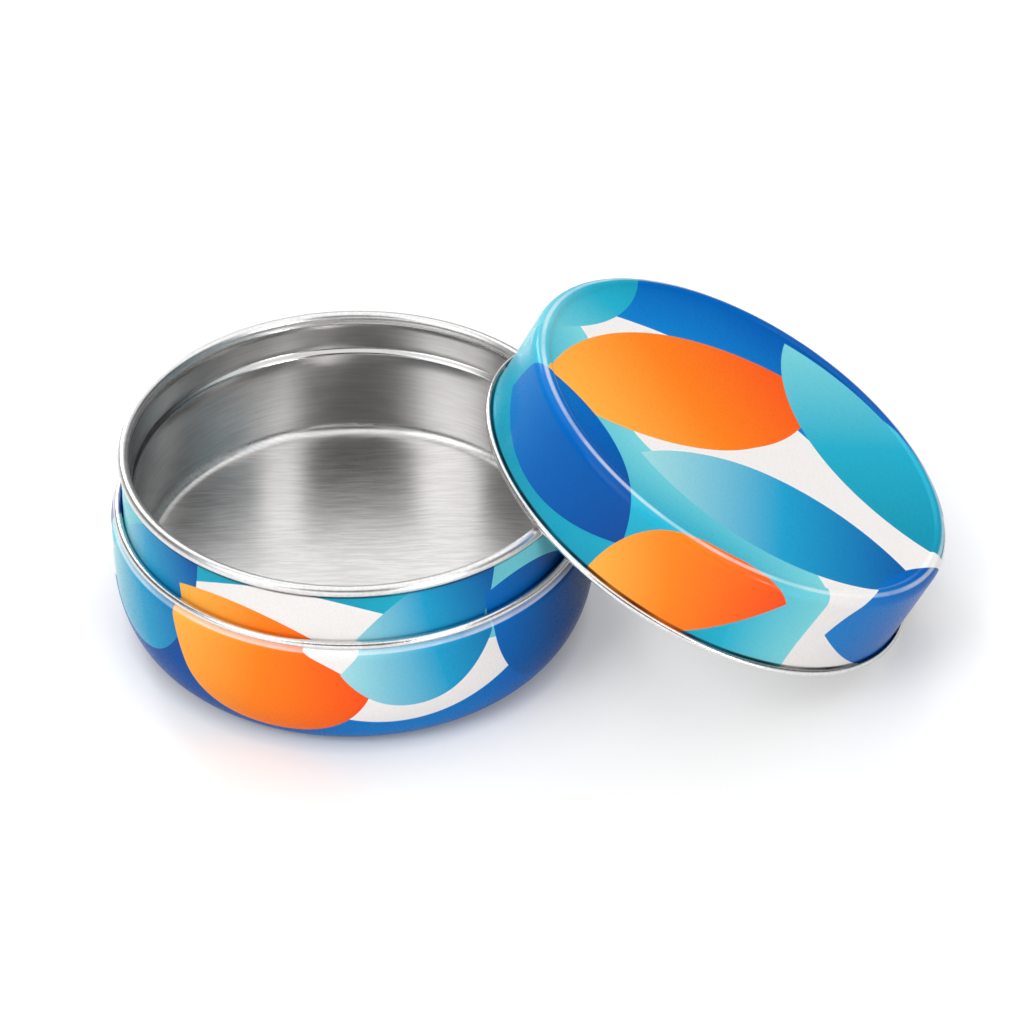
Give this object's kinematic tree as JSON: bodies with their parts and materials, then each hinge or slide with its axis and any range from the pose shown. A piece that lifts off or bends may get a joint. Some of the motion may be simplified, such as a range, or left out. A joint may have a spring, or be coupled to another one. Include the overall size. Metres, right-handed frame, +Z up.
{
  "type": "round push-on tin",
  "caption": "Round double-walled push-on tin with printed outer bowl and neck, bare inner cup and rolled rims; its printed slip lid is off and leans on the rim.",
  "frame": {"origin": "centre of the base's flat underside, on the surface that the tin stands on", "axes": "+Z up along the base's axis, +X from the base towards the leaning lid"},
  "size_m": [0.1728, 0.1, 0.0632],
  "materials": {
    "printed_shell": "satin print on tinplate: rounded shapes in blue, teal and orange on off-white",
    "printed_neck": "satin print on tinplate: the outer bowl's pattern carried on",
    "bare_tinplate": "satin, fine rolling lines",
    "printed_lid": "satin print on tinplate: rounded shapes in blue, teal and orange on off-white"
  },
  "bodies": {
    "base": {"body_shell": "printed_shell", "neck_collar": "printed_neck", "inner_cup": "bare_tinplate"},
    "lid": {"lid_shell": "printed_lid"}
  },
  "joints": [
    {"name": "lid_lift", "type": "slide", "parent": "base", "child": "lid", "axis": [0, 0, 1], "range_m": [0, 0.06]}
  ]
}
